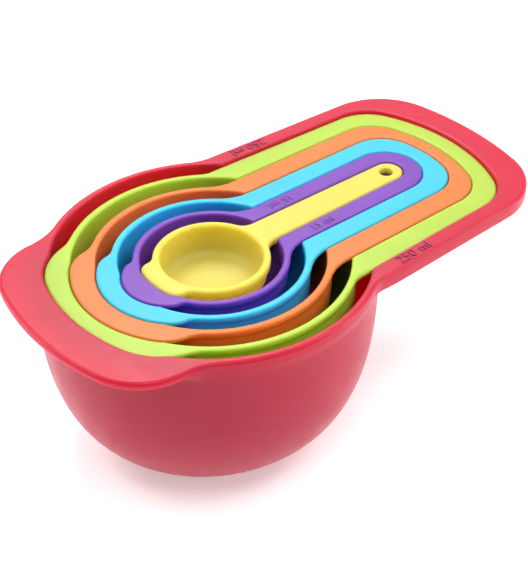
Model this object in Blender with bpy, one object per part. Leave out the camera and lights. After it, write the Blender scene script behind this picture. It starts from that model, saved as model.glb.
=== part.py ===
"""Nesting measuring cup set: four cups and two scoops that stack flush.

Each cup is one moulding: a round bowl, a wide pouring lip on -X and a flat
handle on +X. The handle and lip of every cup are stepped down in the middle,
so that the next smaller cup drops in level with its neighbours.
Frame: metres, +X along the handles, +Z up, origin at the middle of the flat
foot under the largest bowl.
"""
import bmesh
import bpy
from collections import namedtuple
from math import acos, atan, atan2, ceil, cos, hypot, pi, radians, sin, sqrt

MM = 0.001

# ---- driving dimensions, millimetres -------------------------------------
SET_HEIGHT = 57.0        # foot of the largest bowl to its rim
INNER_DROP = 0.8         # tops of the five inner cups, below the largest rim
FLANGE = 1.3             # handle and lip plate of the inner cups
OUTER_FLANGE = 2.2       # the same plate on the largest cup
SKIRT_DEPTH = 4.6        # turned-down edge round the largest handle
SKIRT_WALL = 1.7
SLAB = 2.3               # solid handle of the smallest scoop
TRAY_WALL = 1.1          # walls and floors of the handle trays
NEST_GAP = 0.25          # between one cup and the next
EDGE = 0.4               # chamfer on rims and flange edges
BOWL_POWER = 3.0         # 2 is an ellipse, larger is fuller
FOOT_RATIO = 0.50        # flat foot radius over bowl radius
HANG_HOLE = 2.0          # radius
HANG_INSET = 5.0         # hole centre from the end of the handle

# ---- resolution ----------------------------------------------------------
ARC_STEP = radians(14.0)
BOWL_RINGS = 7

# Plan of a cup, seen from above with the bowl centre at 0, 0. All in mm:
# rim radius; half width of the handle at x = 0 and its slope; x of the
# handle end, its arc and corner radii; neck fillet; x of the lip front, its
# arc radius, corner centre y, corner radius and the fillet into the rim;
# wall at the rim; depth inside the bowl; thickness of the bowl floor.
Cup = namedtuple("Cup", "name colour rim half slope end end_arc end_corner neck "
                        "lip lip_arc lip_y lip_corner lip_fillet wall depth floor")

CUPS = (
    Cup("red_cup_250ml", (0.60, 0.035, 0.085), 46, 39.5, -0.045, 100, 92, 21, 14,
        -56, 78, 16.5, 18.5, 20, 2.3, 54.5, 2.5),
    Cup("green_cup_125ml", (0.50, 0.80, 0.18), 40, 33.5, -0.04, 91, 52, 14, 5,
        -44.5, 55, 11.5, 18, 11.5, 2.0, 38.6, 1.8),
    Cup("orange_cup_85ml", (0.95, 0.30, 0.12), 33.3, 25, -0.015, 85, 45, 12.5, 14,
        -39.5, 32, 13, 10.5, 9, 2.0, 36.0, 1.6),
    Cup("blue_cup_60ml", (0.08, 0.50, 0.85), 27.4, 17.5, -0.01, 80.5, 36, 11.5, 14,
        -33, 22.5, 11, 7, 5, 2.0, 33.5, 1.5),
    Cup("purple_scoop_15ml", (0.20, 0.08, 0.42), 21.4, 10.4, 0.0, 75, 10.9, 10.3, 11,
        -27, 13, 7.5, 4, 3, 1.9, 15.5, 1.5),
    Cup("yellow_scoop_5ml", (0.92, 0.78, 0.18), 16.1, 5.1, -0.01, 69.5, 30, 4.4, 4,
        -21.5, 27, 5, 2.5, 2, 2.0, 10.5, 1.5),
)


# ---- plan outlines -------------------------------------------------------
def arc(centre, radius, start, end):
    """Points along an arc, both ends included."""
    steps = max(1, ceil(abs(end - start) / ARC_STEP))
    angles = [start + (end - start) * i / steps for i in range(steps + 1)]
    return [(centre[0] + radius * cos(a), centre[1] + radius * sin(a)) for a in angles]


def fillet_centre(big, centre, small, fillet):
    """Centre of a fillet that touches a circle at 0, 0 and a second circle."""
    reach = hypot(*centre)
    along = ((big + fillet) ** 2 - (small + fillet) ** 2 + reach ** 2) / (2 * reach)
    across = sqrt((big + fillet) ** 2 - along ** 2)
    ux, uy = centre[0] / reach, centre[1] / reach
    return ux * along + uy * across, uy * along - ux * across


def handle_half(cup):
    """Upper half of the handle edge, from its end to the bowl rim."""
    tilt = atan(cup.slope)
    run, normal = (cos(tilt), sin(tilt)), (-sin(tilt), cos(tilt))
    end_centre = (cup.end - cup.end_arc, 0.0)
    inset = cup.half * cos(tilt) - cup.end_corner
    bx, by = normal[0] * inset - end_centre[0], normal[1] * inset - end_centre[1]
    b = bx * run[0] + by * run[1]
    c = bx * bx + by * by - (cup.end_arc - cup.end_corner) ** 2
    s = -b + sqrt(max(b * b - c, 0.0))
    corner = (normal[0] * inset + run[0] * s, normal[1] * inset + run[1] * s)
    turn = atan2(corner[1], corner[0] - end_centre[0])
    outset = cup.half * cos(tilt) + cup.neck
    s = sqrt((cup.rim + cup.neck) ** 2 - outset ** 2)
    neck = (normal[0] * outset + run[0] * s, normal[1] * outset + run[1] * s)
    side = atan2(normal[1], normal[0])
    return (arc(end_centre, cup.end_arc, 0.0, turn)
            + arc(corner, cup.end_corner, turn, side)
            + arc(neck, cup.neck, side - pi, atan2(neck[1], neck[0]) - pi)), neck


def lip_half(cup):
    """Upper half of the lip edge, from the bowl rim to the lip front."""
    front = (cup.lip + cup.lip_arc, 0.0)
    reach = cup.lip_arc - cup.lip_corner
    corner = (front[0] - sqrt(reach ** 2 - cup.lip_y ** 2), cup.lip_y)
    fillet = fillet_centre(cup.rim, corner, cup.lip_corner, cup.lip_fillet)
    toward = atan2(corner[1] - fillet[1], corner[0] - fillet[0])
    start = atan2(-fillet[1], -fillet[0])
    if toward - start < -pi:
        toward += 2 * pi
    if toward - start > pi:
        toward -= 2 * pi
    leave = (toward + pi) % (2 * pi)
    turn = atan2(corner[1], corner[0] - front[0])
    return (arc(fillet, cup.lip_fillet, start, toward)
            + arc(corner, cup.lip_corner, leave, turn)
            + arc(front, cup.lip_arc, turn, pi)), fillet


def outline(cup):
    """Closed plan outline of a cup, anticlockwise."""
    handle, neck = handle_half(cup)
    lip, fillet = lip_half(cup)
    rim = arc((0.0, 0.0), cup.rim, atan2(neck[1], neck[0]), atan2(fillet[1], fillet[0]))
    half = []
    for point in handle + rim + lip:
        if not half or hypot(point[0] - half[-1][0], point[1] - half[-1][1]) > 0.05:
            half.append(point)
    return half + [(x, -y) for x, y in reversed(half[1:-1])]


def grown(cup, by):
    """The same plan moved outward by a distance, arcs staying true arcs."""
    return cup._replace(
        rim=cup.rim + by, half=cup.half + by / cos(atan(cup.slope)), end=cup.end + by,
        end_arc=cup.end_arc + by, end_corner=cup.end_corner + by, neck=cup.neck - by,
        lip=cup.lip - by, lip_arc=cup.lip_arc + by, lip_corner=cup.lip_corner + by,
        lip_fillet=cup.lip_fillet - by)


# ---- solids --------------------------------------------------------------
def solid(name, rings, poles=(None, None)):
    """Closed mesh skinned over equal rings, bottom first, capped at both ends."""
    mesh = bmesh.new()
    rows = [[mesh.verts.new([c * MM for c in p]) for p in ring] for ring in rings]
    count = len(rows[0])
    for low, high in zip(rows, rows[1:]):
        for i in range(count):
            j = (i + 1) % count
            mesh.faces.new((low[i], low[j], high[j], high[i]))
    for row, flip in ((rows[0], True), (rows[-1], False)):
        mesh.faces.new(list(reversed(row)) if flip else row)
    data = bpy.data.meshes.new(name)
    mesh.to_mesh(data)
    mesh.free()
    obj = bpy.data.objects.new(name, data)
    bpy.context.collection.objects.link(obj)
    return obj


def slab(name, cup, low, high, edge=0.0):
    """Plate with a cup's plan between two heights, top edge chamfered."""
    levels = [(0.0, low), (0.0, high)]
    if edge:
        levels = [(0.0, low), (0.0, high - edge), (-edge, high)]
    rings = [[(x, y, z + SET_HEIGHT) for x, y in outline(grown(cup, by))]
             for by, z in levels]
    return solid(name, rings)


def bowl(name, radius, depth, top, above):
    """Solid of the bowl's own shape, carried straight up by above at the rim."""
    foot = radius * FOOT_RATIO
    last = acos(FOOT_RATIO ** (BOWL_POWER / 2))
    scale = depth / sin(last) ** (2 / BOWL_POWER)
    profile = []
    for i in range(BOWL_RINGS + 1):
        t = last * (1 - i / BOWL_RINGS)
        profile.append((radius * cos(t) ** (2 / BOWL_POWER), -scale * sin(t) ** (2 / BOWL_POWER)))
    profile[0] = (foot, -depth)
    profile.append((profile[-1][0], above))
    count = 2 * ceil(pi / ARC_STEP) + 6
    rings = [[(r * cos(2 * pi * i / count), r * sin(2 * pi * i / count), z + top + SET_HEIGHT)
              for i in range(count)] for r, z in profile]
    return solid(name, rings)


def combine(target, tool, operation):
    """Join or cut with an exact boolean and keep only the result."""
    modifier = target.modifiers.new("shape", "BOOLEAN")
    modifier.object = tool
    modifier.operation = operation
    modifier.solver = "EXACT"
    graph = bpy.context.evaluated_depsgraph_get()
    result = bpy.data.meshes.new_from_object(target.evaluated_get(graph))
    target.modifiers.clear()
    old = target.data
    target.data = result
    bpy.data.meshes.remove(old)
    bpy.data.objects.remove(tool)


def plastic(name, colour):
    """Plain glossy polypropylene."""
    material = bpy.data.materials.new(name)
    material.use_nodes = True
    shader = material.node_tree.nodes["Principled BSDF"]
    shader.inputs["Base Color"].default_value = (*colour, 1.0)
    shader.inputs["Roughness"].default_value = 0.32
    material.diffuse_color = (*colour, 1.0)
    return material


# ---- cups ----------------------------------------------------------------
def top_of(level):
    return -INNER_DROP if level else 0.0


def tray_bottoms():
    """Lowest face of each handle, smallest scoop last."""
    last = len(CUPS) - 1
    lows = {last: top_of(last) - SLAB}
    for level in range(last - 1, -1, -1):
        lows[level] = lows[level + 1] - NEST_GAP - TRAY_WALL
    return lows


def handle_blocks(level, lows):
    """Plans and depths of the stepped trays: (plan outside, plan inside, floor)."""
    last = len(CUPS) - 1
    if level == last:
        return []
    seat = top_of(level + 1) - (SLAB if level + 1 == last else FLANGE) - NEST_GAP
    step = NEST_GAP + TRAY_WALL
    steps = [(grown(CUPS[level + 1], step), grown(CUPS[level + 1], NEST_GAP), seat)]
    if level + 2 <= last:
        steps.append((grown(CUPS[level + 2], 2 * step),
                      grown(CUPS[level + 2], step + NEST_GAP), lows[level] + TRAY_WALL))
    return steps


def add_skirt(body, cup, top):
    """Turned-down edge round the handle; beside the bowl it runs into the wall."""
    skirt = slab("skirt", grown(cup, -0.15), top - SKIRT_DEPTH, top - 0.9)
    inside = slab("inside", grown(cup, -SKIRT_WALL), top - SKIRT_DEPTH - 1, top + 1)
    combine(skirt, inside, "DIFFERENCE")
    x0, x1, y1 = cup.rim * 0.42, cup.end + 5, cup.rim + 10
    box = [[(x0, -y1, z), (x1, -y1, z), (x1, y1, z), (x0, y1, z)]
           for z in (0.0, SET_HEIGHT + 10)]
    combine(skirt, solid("handle side", box), "INTERSECT")
    combine(body, skirt, "UNION")


def make_cup(level, lows):
    """One moulded cup, from the outside in: solids joined, then hollows cut."""
    cup, top = CUPS[level], top_of(level)
    plate = OUTER_FLANGE if level == 0 else SLAB if level == len(CUPS) - 1 else FLANGE
    body = slab(cup.name, cup, top - plate, top, EDGE)
    combine(body, bowl("wall", cup.rim - 0.5, cup.depth + cup.floor, top, -0.6), "UNION")
    if level == 0:
        add_skirt(body, cup, top)
    blocks = handle_blocks(level, lows)
    for outside, _, floor in blocks:
        combine(body, slab("tray", outside, floor - TRAY_WALL, top - 0.7), "UNION")
    combine(body, bowl("cavity", cup.rim - cup.wall, cup.depth, top, 3.0), "DIFFERENCE")
    for _, inside, floor in blocks:
        combine(body, slab("recess", inside, floor, top + 3.0), "DIFFERENCE")
    if level == len(CUPS) - 1:
        x = cup.end - HANG_INSET
        rings = [[(x + HANG_HOLE * cos(a * pi / 12), HANG_HOLE * sin(a * pi / 12), z)
                  for a in range(24)] for z in (SET_HEIGHT - 9.0, SET_HEIGHT + 2.0)]
        combine(body, solid("hole", rings), "DIFFERENCE")
    body.data.name = cup.name
    body.data.materials.clear()
    body.data.materials.append(plastic("plastic_" + cup.name, cup.colour))
    return body


def main():
    for obj in list(bpy.data.objects):
        bpy.data.objects.remove(obj)
    lows = tray_bottoms()
    for level in range(len(CUPS)):
        make_cup(level, lows)


main()
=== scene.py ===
"""Nesting measuring cup set: four cups and two scoops, stacked flush.

Every cup is one polypropylene moulding. Its skin is taken from a signed
distance description of the moulding (plate, bowl, trays, skirt and hollows,
joined with rounded edges), as a fine mesh whose vertices lie on the true
surface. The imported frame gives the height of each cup's top.
Frame: metres, +X along the handles, +Z up. The shapes below are in mm.
"""
import bpy
import numpy as np
from collections import namedtuple
from math import atan, atan2, cos, hypot, pi, radians, sin, sqrt
from mathutils import Matrix, Vector


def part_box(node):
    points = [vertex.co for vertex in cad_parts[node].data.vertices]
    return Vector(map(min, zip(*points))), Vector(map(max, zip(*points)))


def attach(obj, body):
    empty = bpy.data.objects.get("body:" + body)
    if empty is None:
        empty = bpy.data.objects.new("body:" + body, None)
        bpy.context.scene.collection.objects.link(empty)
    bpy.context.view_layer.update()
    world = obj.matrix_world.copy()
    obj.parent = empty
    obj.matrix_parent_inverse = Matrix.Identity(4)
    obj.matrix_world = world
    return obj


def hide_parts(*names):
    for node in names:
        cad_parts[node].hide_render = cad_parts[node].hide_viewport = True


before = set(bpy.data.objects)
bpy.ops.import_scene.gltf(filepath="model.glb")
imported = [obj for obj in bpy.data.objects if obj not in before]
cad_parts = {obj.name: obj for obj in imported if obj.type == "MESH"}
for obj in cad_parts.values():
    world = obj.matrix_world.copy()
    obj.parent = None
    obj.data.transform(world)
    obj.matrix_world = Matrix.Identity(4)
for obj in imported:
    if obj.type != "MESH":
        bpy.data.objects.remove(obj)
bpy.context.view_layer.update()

MM = 0.001

# ---- driving dimensions, millimetres -------------------------------------
INNER_DROP = 0.8         # tops of the five inner cups, below the largest rim
FLANGE = 1.3             # handle and lip plate of the inner cups
OUTER_FLANGE = 2.2       # the same plate on the largest cup
SKIRT_DEPTH = 4.6        # turned-down edge round the largest handle
SKIRT_WALL = 1.7
SKIRT_START = 12.0       # where along X the skirt starts to deepen
SKIRT_FULL = 34.0        # and where it has its full depth
SLAB = 2.3               # solid handle of the smallest scoop
TRAY_WALL = 1.1          # walls and floors of the handle trays
NEST_GAP = 0.25          # between one cup and the next
RIM_INSET = 0.5          # outside of the bowl, in from the rim's outline
BOWL_POWER = 3.0         # 2 is an ellipse, larger is fuller
FOOT_SHARE = 0.9565      # height of the cut-off bowl over the whole superellipse
HANG_HOLE = 2.0          # radius
HANG_INSET = 5.0         # hole centre from the end of the handle
LIP_FULLNESS = 0.075     # how much fuller the largest bowl is on its lip side

# ---- radii of edges and inner corners, millimetres -----------------------
# where there are two, the first is the largest cup's and the second is the others'
BOWL_FILLET = (3.5, 1.6)     # bowl into plate
PLATE_EDGE = (0.9, 0.5)      # round the plate's outline
FOOT_ROUND = 2.5             # round the foot, outside
HOLLOW_ROUND = 3.5           # round the bottom, inside
TRAY_EDGE = 0.9
TRAY_FILLET = 0.8
TRAY_HOLLOW_ROUND = 0.4
SKIRT_EDGE = 0.6
SKIRT_FILLET = 0.7
HOLE_EDGE = 0.45
TOP_EDGE = (1.15, 0.6, 0.85)     # of the largest cup, those between, the smallest scoop
HOLLOW_EDGE = (0.6, 0.6, 0.9)    # the same, round the mouth

# ---- grid that the skins are taken from, millimetres ---------------------
PLAN_PITCH = (0.62, 0.52, 0.52, 0.42, 0.42, 0.42)
HEIGHT_PITCH = 0.45
PLAN_MARGIN = 1.2
HEIGHT_MARGIN = 1.0
FOOT_BAND = 3.0          # grid lines are counted up to here from the foot,
BAND_STEP = 0.1          # and again from this much higher, below a deep bowl
DEEP = 5.0               # a bowl this far below its trays is deep
OFF_CENTRE = 0.013       # keeps grid lines off the plane of symmetry
MOST_TRIANGLES = 190000  # in one cup's skin

Cup = namedtuple("Cup", "node body slot rim half slope end end_arc end_corner neck "
                        "lip lip_arc lip_y lip_corner lip_fillet wall depth floor")

CUPS = (
    Cup("red_cup_250ml", "red_cup", "red_plastic", 46, 39.5, -0.045, 100, 92, 21, 14,
        -56, 78, 16.5, 18.5, 20, 2.3, 54.5, 2.5),
    Cup("green_cup_125ml", "green_cup", "green_plastic", 40, 33.5, -0.04, 91, 52, 14, 5,
        -44.5, 55, 11.5, 18, 11.5, 2.0, 38.6, 1.8),
    Cup("orange_cup_85ml", "orange_cup", "orange_plastic", 33.3, 25, -0.015, 85, 45,
        12.5, 14, -39.5, 32, 13, 10.5, 9, 2.0, 36.0, 1.6),
    Cup("blue_cup_60ml", "blue_cup", "blue_plastic", 27.4, 17.5, -0.01, 80.5, 36, 11.5,
        14, -33, 22.5, 11, 7, 5, 2.0, 33.5, 1.5),
    Cup("purple_scoop_15ml", "purple_scoop", "purple_plastic", 21.4, 10.4, 0.0, 75,
        10.9, 10.3, 11, -27, 13, 7.5, 4, 3, 1.9, 15.5, 1.5),
    Cup("yellow_scoop_5ml", "yellow_scoop", "yellow_plastic", 16.1, 5.1, -0.01, 69.5,
        30, 4.4, 4, -19.6, 24, 5.2, 3.4, 3.5, 2.0, 10.5, 1.5),
)
LAST = len(CUPS) - 1


def for_level(level, values):
    """Of two values, the largest cup's or the others'; of three, the smallest's is last."""
    if level == 0:
        return values[0]
    return values[2] if level == LAST and len(values) == 3 else values[1]


# ---- plan outlines -------------------------------------------------------
class Plan:
    """Signed distance, in plan, from the outline of one cup: negative inside.

    The outline is the same on both sides of the X axis, so only y >= 0 is kept:
    a straight flank from near to far, and arcs from the end of the handle round
    its corner, then down the neck, round the rim and out to the lip.
    """

    def __init__(self, cup):
        # the flank of the handle runs along run, and normal points out of it
        tilt = atan(cup.slope)
        run, normal = (cos(tilt), sin(tilt)), (-sin(tilt), cos(tilt))

        # corner that touches both the flank and the arc across the handle's end
        end_x = cup.end - cup.end_arc
        inset = cup.half * cos(tilt) - cup.end_corner
        bx, by = normal[0] * inset - end_x, normal[1] * inset
        b = bx * run[0] + by * run[1]
        c = bx * bx + by * by - (cup.end_arc - cup.end_corner) ** 2
        far = -b + sqrt(max(b * b - c, 0.0))
        corner = (normal[0] * inset + run[0] * far, normal[1] * inset + run[1] * far)
        turn = atan2(corner[1], corner[0] - end_x)

        # fillet between the flank and the rim
        outset = cup.half * cos(tilt) + cup.neck
        near = sqrt((cup.rim + cup.neck) ** 2 - outset ** 2)
        neck = (normal[0] * outset + run[0] * near, normal[1] * outset + run[1] * near)
        side = atan2(normal[1], normal[0])

        # corner of the lip, on the arc across its front
        front_x = cup.lip + cup.lip_arc
        reach = cup.lip_arc - cup.lip_corner
        lip = (front_x - sqrt(reach ** 2 - cup.lip_y ** 2), cup.lip_y)
        lip_turn = atan2(lip[1], lip[0] - front_x)

        # fillet between the rim and that corner
        size = hypot(*lip)
        along = ((cup.rim + cup.lip_fillet) ** 2 - (cup.lip_corner + cup.lip_fillet) ** 2
                 + size ** 2) / (2 * size)
        across = sqrt((cup.rim + cup.lip_fillet) ** 2 - along ** 2)
        ux, uy = lip[0] / size, lip[1] / size
        fillet = (ux * along + uy * across, uy * along - ux * across)
        toward = atan2(lip[1] - fillet[1], lip[0] - fillet[0])
        start = atan2(-fillet[1], -fillet[0])
        if toward - start < -pi:
            toward += 2 * pi
        if toward - start > pi:
            toward -= 2 * pi
        leave = (toward + pi) % (2 * pi)

        # centre, radius, first and last angle, +1 for a round corner, -1 for a fillet
        self.arcs = [
            (end_x, 0.0, cup.end_arc, 0.0, turn, 1),
            (*corner, cup.end_corner, turn, side, 1),
            (*neck, cup.neck, atan2(neck[1], neck[0]) - pi, side - pi, -1),
            (0.0, 0.0, cup.rim, atan2(neck[1], neck[0]), atan2(fillet[1], fillet[0]), 1),
            (*fillet, cup.lip_fillet, min(start, toward), max(start, toward), -1),
            (*lip, cup.lip_corner, min(leave, lip_turn), max(leave, lip_turn), 1),
            (front_x, 0.0, cup.lip_arc, lip_turn, pi, 1),
        ]
        self.run, self.normal = run, normal
        self.offset, self.near, self.far = cup.half * cos(tilt), near, far

    def __call__(self, x, y):
        y = np.abs(y)
        along = x * self.run[0] + y * self.run[1]
        off = x * self.normal[0] + y * self.normal[1] - self.offset
        best = np.where((along >= self.near) & (along <= self.far), off, 1e6)
        for cx, cy, radius, first, last, sign in self.arcs:
            angle = (np.arctan2(y - cy, x - cx) - first + 1e-6) % (2 * pi)
            off = sign * (np.hypot(x - cx, y - cy) - radius)
            best = np.where((angle <= last - first + 2e-6) & (np.abs(off) < np.abs(best)),
                            off, best)
        return best


# ---- rounded solids in distance form: negative inside --------------------
def meet(a, b, r):
    """What is inside both, with the shared edge rounded to radius r."""
    return np.minimum(-r, np.maximum(a, b)) + np.hypot(np.maximum(r + a, 0),
                                                       np.maximum(r + b, 0))


def join(a, b, r):
    """What is inside either, with the inner corner filled to radius r."""
    return np.maximum(r, np.minimum(a, b)) - np.hypot(np.maximum(r - a, 0),
                                                      np.maximum(r - b, 0))


def cut(a, b, r):
    """What is inside a but outside b, with the edge rounded to radius r."""
    return meet(a, -b, r)


def smooth(x, low, high):
    """0 up to low, 1 from high on, and an S-curve between."""
    t = np.clip((x - low) / (high - low), 0.0, 1.0)
    return t * t * (3 - 2 * t)


def bowl(r, z, radius, depth, foot_round):
    """Bowl of the family's profile hanging from z = 0, open upward, flat below."""
    height = depth / FOOT_SHARE
    a, b = np.maximum(r, 1e-6) / radius, np.maximum(-z, 0.0) / height
    g = np.maximum((a ** BOWL_POWER + b ** BOWL_POWER) ** (1 / BOWL_POWER), 1e-6)
    power = BOWL_POWER - 1
    steep = np.hypot((a / g) ** power / radius, (b / g) ** power / height)
    return meet((g - 1) / steep, -depth - z, foot_round)


def top_of(level):
    return -INNER_DROP if level else 0.0


def plate_under(level):
    """Height of the underside of a cup's plate."""
    return top_of(level) - for_level(level, (OUTER_FLANGE, FLANGE, SLAB))


def tray_bottoms():
    """Lowest face of each handle, by level."""
    lows = {LAST: plate_under(LAST)}
    for level in range(LAST - 1, -1, -1):
        lows[level] = lows[level + 1] - NEST_GAP - TRAY_WALL
    return lows


LOWS = tray_bottoms()
PLANS = [Plan(cup) for cup in CUPS]


def cup_field(level, own, inner, deep, r, x, y, z):
    """Signed distance of one moulded cup.

    own, inner and deep are the plan distances of this cup and of the two that
    nest in it, and r is the distance from the bowl's axis.
    """
    cup, top = CUPS[level], top_of(level)
    largest, smallest = level == 0, level == LAST
    body = plate_under(level) - z
    fuller = np.hypot(x * np.where(x < 0, 1 - LIP_FULLNESS, 1.0), y) if largest else r
    outside = bowl(fuller, z - top, cup.rim - RIM_INSET, cup.depth + cup.floor, FOOT_ROUND)
    body = join(body, outside, for_level(level, BOWL_FILLET))

    # trays under the handle and lip: one for the next cup, and a deeper one in
    # it for the trays that this next cup has itself
    step = NEST_GAP + TRAY_WALL
    hollow = bowl(r, z - top, cup.rim - cup.wall, cup.depth, HOLLOW_ROUND)
    if level < LAST:
        seat = plate_under(level + 1) - NEST_GAP
        tray = meet(inner - step, (seat - TRAY_WALL) - z, TRAY_EDGE)
        body = join(body, tray, TRAY_FILLET)
        hollow = np.minimum(hollow, meet(inner - NEST_GAP, seat - z, TRAY_HOLLOW_ROUND))
    if level + 2 <= LAST:
        floor = LOWS[level] + TRAY_WALL
        tray = meet(deep - 2 * step, (floor - TRAY_WALL) - z, TRAY_EDGE)
        body = join(body, tray, TRAY_FILLET)
        hollow = np.minimum(hollow, meet(deep - step - NEST_GAP, floor - z, TRAY_HOLLOW_ROUND))
    if largest:
        depth = OUTER_FLANGE + (SKIRT_DEPTH - OUTER_FLANGE) * smooth(x, SKIRT_START, SKIRT_FULL)
        skirt = meet(-own - SKIRT_WALL, (top - depth) - z, SKIRT_EDGE)
        body = join(body, skirt, SKIRT_FILLET)

    body = meet(body, own, for_level(level, PLATE_EDGE))
    body = meet(body, z - top, for_level(level, TOP_EDGE))
    body = cut(body, hollow, for_level(level, HOLLOW_EDGE))
    if smallest:
        hole = np.hypot(x - (cup.end - HANG_INSET), y) - HANG_HOLE
        body = cut(body, hole, HOLE_EDGE)
    return body


def field_of(level):
    """The cup's signed distance as a function of x, y and z alone."""
    plans = PLANS[level:level + 3]

    def field(x, y, z):
        flat = [plan(x, y) for plan in plans]
        flat += [None] * (3 - len(flat))
        return cup_field(level, *flat, np.hypot(x, y), x, y, z)

    return field


# ---- skins ---------------------------------------------------------------
def spread(stops):
    """Grid lines between stops, each stretch with its own spacing."""
    lines = [stops[0][0]]
    for (start, pitch), (end, _) in zip(stops, stops[1:]):
        count = max(1, int(round((end - start) / pitch)))
        lines += [start + (end - start) * (i + 1) / count for i in range(count)]
    return np.array(lines)


def grid_of(level):
    """Lines of the grid along X, Y and Z, a little past the cup on every side."""
    cup, top, pitch = CUPS[level], top_of(level), PLAN_PITCH[level]
    xs = spread([(cup.lip - PLAN_MARGIN, pitch), (cup.end + PLAN_MARGIN, pitch)])
    half = spread([(0.0, pitch), (cup.rim + PLAN_MARGIN, pitch)])
    ys = np.concatenate([-half[:0:-1], half]) + OFF_CENTRE

    bottom = min(LOWS[level], top - cup.depth - cup.floor)
    ends = [bottom - HEIGHT_MARGIN, top + HEIGHT_MARGIN]
    if bottom < LOWS[level] - DEEP:
        ends[1:1] = [bottom + FOOT_BAND, bottom + (FOOT_BAND + BAND_STEP)]
    zs = spread([(end, HEIGHT_PITCH) for end in ends])
    return xs, ys, zs


def quads_of(values):
    """Surface nets: one vertex per crossed cell, one quad per crossed grid edge."""
    inside = values < 0
    nx, ny, nz = (n - 1 for n in values.shape)
    total = np.zeros((nx, ny, nz, 3), np.float32)
    count = np.zeros((nx, ny, nz), np.int16)
    crossed = {}
    for axis in range(3):
        low = [slice(None)] * 3
        high = [slice(None)] * 3
        low[axis], high[axis] = slice(None, -1), slice(1, None)
        a, b = values[tuple(low)], values[tuple(high)]
        hit = inside[tuple(low)] != inside[tuple(high)]
        share = np.where(hit, a / np.where(hit, a - b, 1.0), 0.0)
        crossed[axis] = hit
        one, two = [i for i in range(3) if i != axis]
        size = [nx, ny, nz]
        for u in (0, 1):
            for v in (0, 1):
                pick = [slice(None)] * 3
                pick[one], pick[two] = slice(u, u + size[one]), slice(v, v + size[two])
                here = hit[tuple(pick)]
                count += here
                total[..., axis] += np.where(here, share[tuple(pick)], 0.0)
                total[..., one] += here * u
                total[..., two] += here * v
    used = count > 0
    number = np.full(used.shape, -1, np.int64)
    number[used] = np.arange(int(used.sum()))
    cell = np.argwhere(used)
    place = cell + total[used] / count[used][:, None]

    faces = []
    for axis in range(3):
        one, two = [i for i in range(3) if i != axis]
        at = np.argwhere(crossed[axis])
        at = at[(at[:, one] > 0) & (at[:, two] > 0)]
        at = at[(at[:, one] < used.shape[one]) & (at[:, two] < used.shape[two])]
        ring = []
        for u, v in ((-1, -1), (0, -1), (0, 0), (-1, 0)):
            near = at.copy()
            near[:, one] += u
            near[:, two] += v
            ring.append(number[near[:, 0], near[:, 1], near[:, 2]])
        quad = np.stack(ring, 1)
        # the quad faces away from the inside end of its grid edge
        flip = ~inside[at[:, 0], at[:, 1], at[:, 2]]
        if axis == 1:
            flip = ~flip
        quad[flip] = quad[flip][:, ::-1]
        faces.append(quad)
    return place, np.concatenate(faces)


def build(name, points, faces, normals=None):
    """Smooth-shaded mesh object in the scene, from arrays."""
    data = bpy.data.meshes.new(name)
    data.vertices.add(len(points))
    data.vertices.foreach_set("co", np.asarray(points, np.float32).ravel())
    data.loops.add(faces.size)
    data.loops.foreach_set("vertex_index", faces.astype(np.int32).ravel())
    data.polygons.add(len(faces))
    starts = np.arange(len(faces), dtype=np.int32) * faces.shape[1]
    data.polygons.foreach_set("loop_start", starts)
    data.polygons.foreach_set("use_smooth", np.ones(len(faces), bool))
    data.update(calc_edges=True)
    data.validate()
    if normals is not None:
        data.normals_split_custom_set_from_vertices(normals.tolist())
    obj = bpy.data.objects.new(name, data)
    bpy.context.scene.collection.objects.link(obj)
    return obj


def thinned(points, faces):
    """The same skin; one past MOST_TRIANGLES comes back as about that many triangles."""
    share = MOST_TRIANGLES / (2 * len(faces))
    if share >= 1:
        return points, faces
    source = build("raw", points * MM, faces)
    modifier = source.modifiers.new("thin", "DECIMATE")
    modifier.ratio = share
    graph = bpy.context.evaluated_depsgraph_get()
    data = bpy.data.meshes.new_from_object(source.evaluated_get(graph))
    data.calc_loop_triangles()
    co = np.empty(len(data.vertices) * 3, np.float32)
    index = np.empty(len(data.loop_triangles) * 3, np.int32)
    data.vertices.foreach_get("co", co)
    data.loop_triangles.foreach_get("vertices", index)
    raw = source.data
    bpy.data.objects.remove(source)
    bpy.data.meshes.remove(raw)
    bpy.data.meshes.remove(data)
    return co.reshape(-1, 3).astype(float) / MM, index.reshape(-1, 3)


def slope(field, points, h):
    """Gradient of the field at points, from steps of h."""
    out = np.empty_like(points)
    for i in range(3):
        ahead, behind = points.copy(), points.copy()
        ahead[:, i] += h
        behind[:, i] -= h
        out[:, i] = (field(*ahead.T) - field(*behind.T)) / (2 * h)
    return out


def settle(field, points, times=2, h=0.02, furthest=0.35):
    """Points moved onto the surface by Newton's method, no further than furthest a time."""
    for _ in range(times):
        away = slope(field, points, h)
        # the floor of 0.2 holds the step back where the field is nearly level
        size = np.maximum((away ** 2).sum(1), 0.2)
        move = -(field(*points.T) / size)[:, None] * away
        length = np.maximum(np.linalg.norm(move, axis=1), 1e-9)
        points = points + move * np.minimum(1.0, furthest / length)[:, None]
    return points


def skin(level, normal_step=0.05):
    """Points, faces and normals of one cup, its points on the true surface."""
    field, lines = field_of(level), grid_of(level)
    place, faces = quads_of(field(*np.ix_(*lines)))
    points = np.stack([np.interp(place[:, i], np.arange(len(a)), a)
                       for i, a in enumerate(lines)], 1)
    points, faces = thinned(settle(field, points), faces)
    points = settle(field, points)
    away = slope(field, points, normal_step)
    away /= np.maximum(np.linalg.norm(away, axis=1), 1e-9)[:, None]
    return points, faces, away


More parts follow.
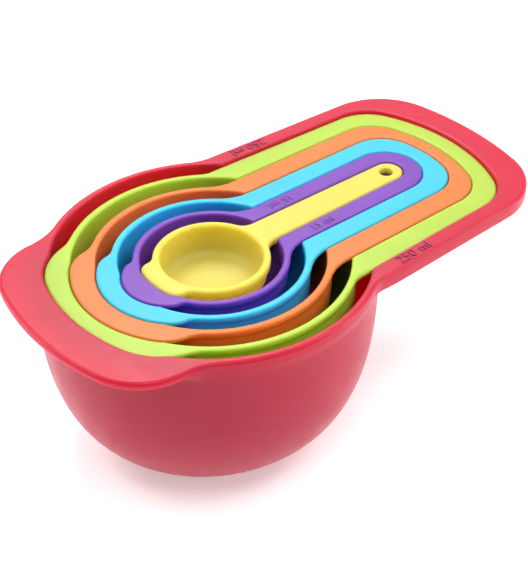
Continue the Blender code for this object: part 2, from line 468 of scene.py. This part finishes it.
# ---- plastic -------------------------------------------------------------
IOR = 1.49
SPECULAR_LEVEL = 0.26
SHEEN_SPREAD = (-0.05, 0.06)     # how far roughness varies either way
COLOUR_SPREAD = (0.955, 1.03)    # the same for colour, as a share of it
COLOUR_LIFT = 0.002              # added to the lighter colour
GRAIN = (420.0, 2.0)             # noise scale (per metre) and detail
SHEEN = (210.0, 3.0)
FLOW = (38.0, 2.0)
WAVE = (55.0, 1.0)
GRAIN_BUMP = (0.12, 0.00005)     # strength, and height in metres
WAVE_BUMP = (0.25, 0.00025)
NOISE_SPAN = (0.25, 0.75)        # what most of a noise lies between


def plastic(name, colour, roughness, scatter, reach, tint):
    """Moulded polypropylene: a fine even grain, faint flow marks and soft gloss.

    Light carries on inside the thin walls, which is what colours the gaps.
    """
    material = bpy.data.materials.new(name)
    material.use_nodes = True
    nodes, links = material.node_tree.nodes, material.node_tree.links
    shader = nodes["Principled BSDF"]
    shader.inputs["IOR"].default_value = IOR
    shader.inputs["Specular IOR Level"].default_value = SPECULAR_LEVEL
    shader.inputs["Subsurface Weight"].default_value = scatter
    shader.inputs["Subsurface Radius"].default_value = tint
    shader.inputs["Subsurface Scale"].default_value = reach
    place = nodes.new("ShaderNodeTexCoord").outputs["Object"]

    def noise(scale, detail):
        node = nodes.new("ShaderNodeTexNoise")
        node.inputs["Scale"].default_value = scale
        node.inputs["Detail"].default_value = detail
        links.new(place, node.inputs["Vector"])
        return node.outputs["Fac"]

    def ramp(value, low, high):
        node = nodes.new("ShaderNodeMapRange")
        node.inputs["From Min"].default_value = NOISE_SPAN[0]
        node.inputs["From Max"].default_value = NOISE_SPAN[1]
        node.inputs["To Min"].default_value = low
        node.inputs["To Max"].default_value = high
        links.new(value, node.inputs["Value"])
        return node.outputs["Result"]

    def bump(value, strength, distance):
        node = nodes.new("ShaderNodeBump")
        node.inputs["Strength"].default_value = strength
        node.inputs["Distance"].default_value = distance
        links.new(value, node.inputs["Height"])
        return node

    darker = [c * COLOUR_SPREAD[0] for c in colour]
    lighter = [min(1.0, c * COLOUR_SPREAD[1] + COLOUR_LIFT) for c in colour]
    mix = nodes.new("ShaderNodeMix")
    mix.data_type = "RGBA"
    links.new(ramp(noise(*FLOW), 0.0, 1.0), mix.inputs["Factor"])
    mix.inputs["A"].default_value = (*darker, 1)
    mix.inputs["B"].default_value = (*lighter, 1)
    links.new(mix.outputs["Result"], shader.inputs["Base Color"])
    sheen = ramp(noise(*SHEEN), roughness + SHEEN_SPREAD[0], roughness + SHEEN_SPREAD[1])
    links.new(sheen, shader.inputs["Roughness"])
    fine = bump(noise(*GRAIN), *GRAIN_BUMP)
    wave = bump(noise(*WAVE), *WAVE_BUMP)
    links.new(fine.outputs["Normal"], wave.inputs["Normal"])
    links.new(wave.outputs["Normal"], shader.inputs["Normal"])
    return material


# colour, roughness, scattering, how far light carries (m) and how it tints
FINISHES = {
    "red_plastic": ((0.44, 0.014, 0.045), 0.345, 0.75, 0.010, (1.0, 0.12, 0.2)),
    "green_plastic": ((0.39, 0.61, 0.065), 0.345, 0.7, 0.008, (0.6, 1.0, 0.1)),
    "orange_plastic": ((0.82, 0.185, 0.042), 0.345, 0.7, 0.009, (1.0, 0.3, 0.1)),
    "blue_plastic": ((0.045, 0.47, 0.80), 0.345, 0.7, 0.008, (0.1, 0.5, 1.0)),
    "purple_plastic": ((0.175, 0.052, 0.38), 0.34, 0.5, 0.006, (0.6, 0.2, 1.0)),
    "yellow_plastic": ((0.74, 0.57, 0.085), 0.345, 0.8, 0.010, (1.0, 0.8, 0.15)),
}


# ---- the six cups --------------------------------------------------------
for level, cup in enumerate(CUPS):
    points, faces, normals = skin(level)
    points *= MM
    points[:, 2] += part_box(cup.node)[1].z - top_of(level) * MM
    piece = build("skin_" + cup.node, points, faces, normals)
    piece.data.materials.append(plastic("finish_" + cup.slot, *FINISHES[cup.slot]))
    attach(piece, cup.body)
    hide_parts(cup.node)


# ---- capacity marks ------------------------------------------------------
MARK_BEVEL = 0.06
MARK_TURN = 0.045        # the largest handle's flank is this far off the X axis

# name, text, level, x, y, size, turn and height, in millimetres and radians
MARKS = (
    ("mark_red_near", "250 ml", 0, 42.5, -34.6, 4.4, MARK_TURN, 0.2),
    ("mark_red_far", "250 ml", 0, 41.0, 34.8, 4.4, pi - MARK_TURN, 0.2),
    ("mark_purple_near", "15 ml", 4, 33.0, -7.8, 3.6, 0.0, 0.16),
    ("mark_purple_far", "15 ml", 4, 31.0, 7.8, 3.6, pi, 0.16),
)


def mark(name, text, level, x, y, size, turn, raise_by):
    """Raised numerals on a handle's top face."""
    cup = CUPS[level]
    curve = bpy.data.curves.new(name, "FONT")
    curve.body = text
    curve.size = size * MM
    curve.align_x = "CENTER"
    curve.align_y = "CENTER"
    curve.extrude = raise_by * MM
    curve.bevel_depth = MARK_BEVEL * MM
    curve.bevel_resolution = 1
    curve.resolution_u = 4
    source = bpy.data.objects.new(name, curve)
    bpy.context.scene.collection.objects.link(source)
    graph = bpy.context.evaluated_depsgraph_get()
    data = bpy.data.meshes.new_from_object(source.evaluated_get(graph))
    bpy.data.objects.remove(source)
    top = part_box(cup.node)[1].z
    data.transform(Matrix.Translation((x * MM, y * MM, top)) @ Matrix.Rotation(turn, 4, "Z"))
    piece = bpy.data.objects.new(name, data)
    bpy.context.scene.collection.objects.link(piece)
    data.materials.clear()
    data.materials.append(bpy.data.materials["finish_" + cup.slot])
    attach(piece, cup.body)


for values in MARKS:
    mark(*values)


# ---- floor, metres -------------------------------------------------------
FLOOR_AWAY = Vector((0.62, 0.78, 0.0))   # the way that the floor runs back
FLOOR_FRONT = -2.5
FLOOR_FLAT = 0.6                         # it is flat to here
FLOOR_CURVE = 1.2                        # then curves up with this radius
FLOOR_TOP = 3.0
FLOOR_WIDE = (-3.0, -1.0, 0.0, 1.0, 3.0)
FLOOR_GREY = 0.93
FLOOR_GLOW = 0.35
FLOOR_GRAIN = 700.0
FLOOR_ROUGHNESS = (0.82, 0.9)


def floor():
    """Seamless pale sweep: flat under the set, curving up far behind it."""
    side = Vector((-FLOOR_AWAY.y, FLOOR_AWAY.x, 0.0))
    profile = [(FLOOR_FRONT, 0.0), (-FLOOR_FLAT, 0.0), (FLOOR_FLAT, 0.0)]
    profile += [(FLOOR_FLAT + FLOOR_CURVE * sin(radians(a)),
                 FLOOR_CURVE - FLOOR_CURVE * cos(radians(a))) for a in range(6, 91, 6)]
    profile += [(FLOOR_FLAT + FLOOR_CURVE, FLOOR_TOP)]
    points, faces = [], []
    for along, up in profile:
        points += [FLOOR_AWAY * along + side * w + Vector((0, 0, up)) for w in FLOOR_WIDE]
    row = len(FLOOR_WIDE)
    for i in range(len(profile) - 1):
        for j in range(row - 1):
            k = i * row + j
            faces.append((k, k + row, k + row + 1, k + 1))
    sweep = build("floor", np.array([tuple(p) for p in points]), np.array(faces))
    material = bpy.data.materials.new("floor_paper")
    material.use_nodes = True
    nodes, links = material.node_tree.nodes, material.node_tree.links
    shader = nodes["Principled BSDF"]
    shader.inputs["Base Color"].default_value = (FLOOR_GREY, FLOOR_GREY, FLOOR_GREY, 1)
    shader.inputs["Emission Color"].default_value = (1, 1, 1, 1)
    shader.inputs["Emission Strength"].default_value = FLOOR_GLOW
    grain = nodes.new("ShaderNodeTexNoise")
    grain.inputs["Scale"].default_value = FLOOR_GRAIN
    tone = nodes.new("ShaderNodeMapRange")
    tone.inputs["To Min"].default_value = FLOOR_ROUGHNESS[0]
    tone.inputs["To Max"].default_value = FLOOR_ROUGHNESS[1]
    links.new(grain.outputs["Fac"], tone.inputs["Value"])
    links.new(tone.outputs["Result"], shader.inputs["Roughness"])
    sweep.data.materials.append(material)


floor()


# ---- camera --------------------------------------------------------------
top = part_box("red_cup_250ml")[1].z

LOOK = Vector((0.0015, -0.0205, top))
AZIMUTH, ELEVATION, DISTANCE = radians(-39.5), radians(37.73), 0.400
SENSOR = 36.0
FOCAL_SHARE = 1525 / 573          # focal length over the frame's long side
CLIP_START = 0.01


def bearing(azimuth, elevation):
    """Unit vector that way from the set: azimuth 0 is towards -Y."""
    return Vector((sin(azimuth) * cos(elevation), -cos(azimuth) * cos(elevation),
                   sin(elevation)))


def aim(obj, way):
    """Turn a camera or lamp to look along way."""
    obj.rotation_euler = way.to_track_quat("-Z", "Y").to_euler()


camera = bpy.data.objects.new("camera", bpy.data.cameras.new("camera"))
camera.location = LOOK + bearing(AZIMUTH, ELEVATION) * DISTANCE
aim(camera, -bearing(AZIMUTH, ELEVATION))
camera.data.sensor_width = SENSOR
camera.data.lens = SENSOR * FOCAL_SHARE
camera.data.clip_start = CLIP_START
bpy.context.scene.collection.objects.link(camera)
bpy.context.scene.camera = camera


# ---- light ---------------------------------------------------------------
LIT_POINT = Vector((0.02, 0.0, 0.04))
WORLD_STRENGTH = 0.15

# name, bearing from the camera's and height in degrees, then distance, width,
# height of the box (m) and power (W)
SOFT_BOXES = (
    ("light_front", 12, 66, 1.1, 0.5, 0.4, 3.4),
    ("light_back", 188, 53, 1.1, 0.5, 0.4, 6.6),
    ("light_left_high", -100, 50, 1.0, 0.5, 0.5, 4.2),
    ("light_right_high", 97, 50, 1.0, 0.5, 0.5, 4.2),
    ("light_left_low", -97, 6, 1.0, 0.4, 0.5, 3.8),
    ("light_right_low", 92, 6, 1.0, 0.4, 0.5, 5.0),
)


def soft_light(name, around, rise, distance, width, tall, power):
    """Soft box aimed at the set."""
    light = bpy.data.lights.new(name, "AREA")
    light.shape = "RECTANGLE"
    light.size, light.size_y = width, tall
    light.energy = power
    obj = bpy.data.objects.new(name, light)
    place = LIT_POINT + distance * bearing(AZIMUTH + radians(around), radians(rise))
    obj.location = place
    aim(obj, LIT_POINT - place)
    bpy.context.scene.collection.objects.link(obj)


for values in SOFT_BOXES:
    soft_light(*values)

world = bpy.data.worlds.new("studio")
bpy.context.scene.world = world
world.use_nodes = True
sky = world.node_tree.nodes["Background"]
sky.inputs["Color"].default_value = (1, 1, 1, 1)
sky.inputs["Strength"].default_value = WORLD_STRENGTH
bpy.context.scene.view_settings.view_transform = "Standard"
